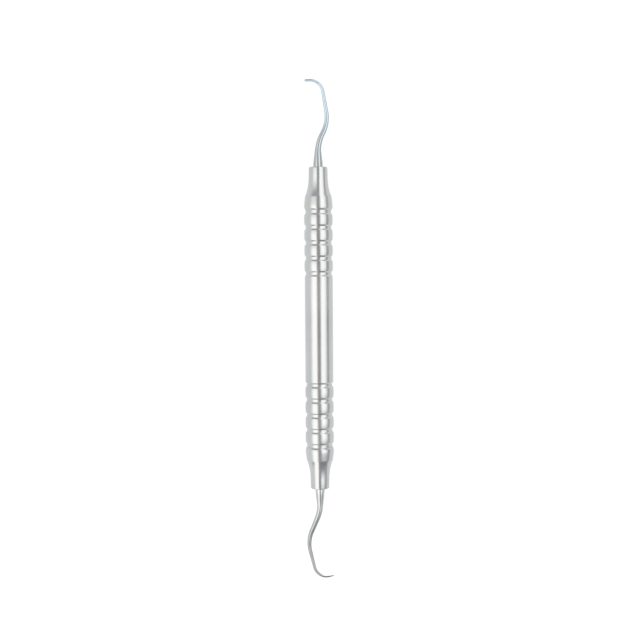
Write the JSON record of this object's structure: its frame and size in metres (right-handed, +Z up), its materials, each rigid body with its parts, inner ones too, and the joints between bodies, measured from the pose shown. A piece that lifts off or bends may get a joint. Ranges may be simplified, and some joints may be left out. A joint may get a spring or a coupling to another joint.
{
  "type": "hand scaler",
  "caption": "Double-ended dental hand scaler: a hollow round steel handle with ring-grooved grips, a tapered nose at each end and a thin bent shank ending in a hooked blade.",
  "frame": {"origin": "under the middle of the whole length, on the surface that the instrument lies on; the handle's axis is 5 mm above it", "axes": "+Y along the handle towards the blunt-toed upper tip, +X to the side that the upper shank bends to first, +Z up as it lies on its side"},
  "size_m": [0.01, 0.1756, 0.01],
  "materials": {
    "handle_steel": "polished, with fine turning marks",
    "tip_steel": "bright polished"
  },
  "bodies": {
    "root": {"handle_barrel": "handle_steel", "upper_nose_cone": "handle_steel", "lower_nose_cone": "handle_steel", "upper_tip": "tip_steel", "lower_tip": "tip_steel"}
  },
  "joints": []
}
